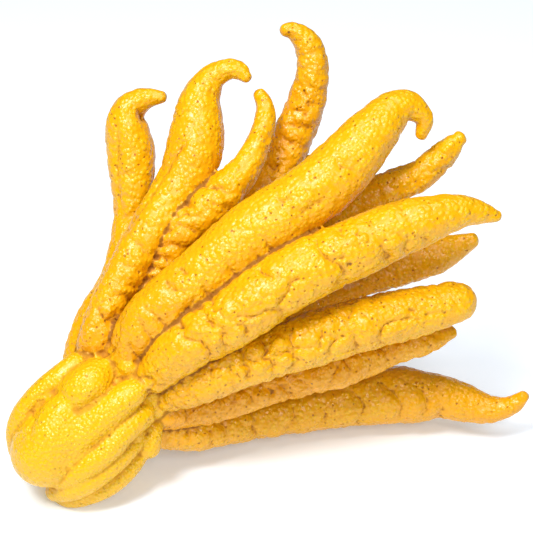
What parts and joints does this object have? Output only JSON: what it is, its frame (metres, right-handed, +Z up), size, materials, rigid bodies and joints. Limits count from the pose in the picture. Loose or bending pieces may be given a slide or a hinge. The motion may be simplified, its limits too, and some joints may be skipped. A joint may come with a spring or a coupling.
{
  "type": "buddha's hand citron fruit",
  "caption": "Whole yellow citron fruit whose lobed bulb splits into a fan of long, hooked, lumpy fingers, lying on its bulb and rear fingers.",
  "frame": {"origin": "centre of the fruit's outline on the surface that it lies on, with z = 0 at that surface", "axes": "+X across the fan of fingers, from the bulb towards the tip of the lowest finger; +Y from the front of the fan towards the fingers behind it; +Z up, away from the surface that it lies on"},
  "size_m": [0.2123, 0.1439, 0.1639],
  "materials": {
    "rind": "waxy citrus rind, satin gloss, pitted with oil glands"
  },
  "bodies": {
    "root": {"citron": "rind"}
  },
  "joints": []
}
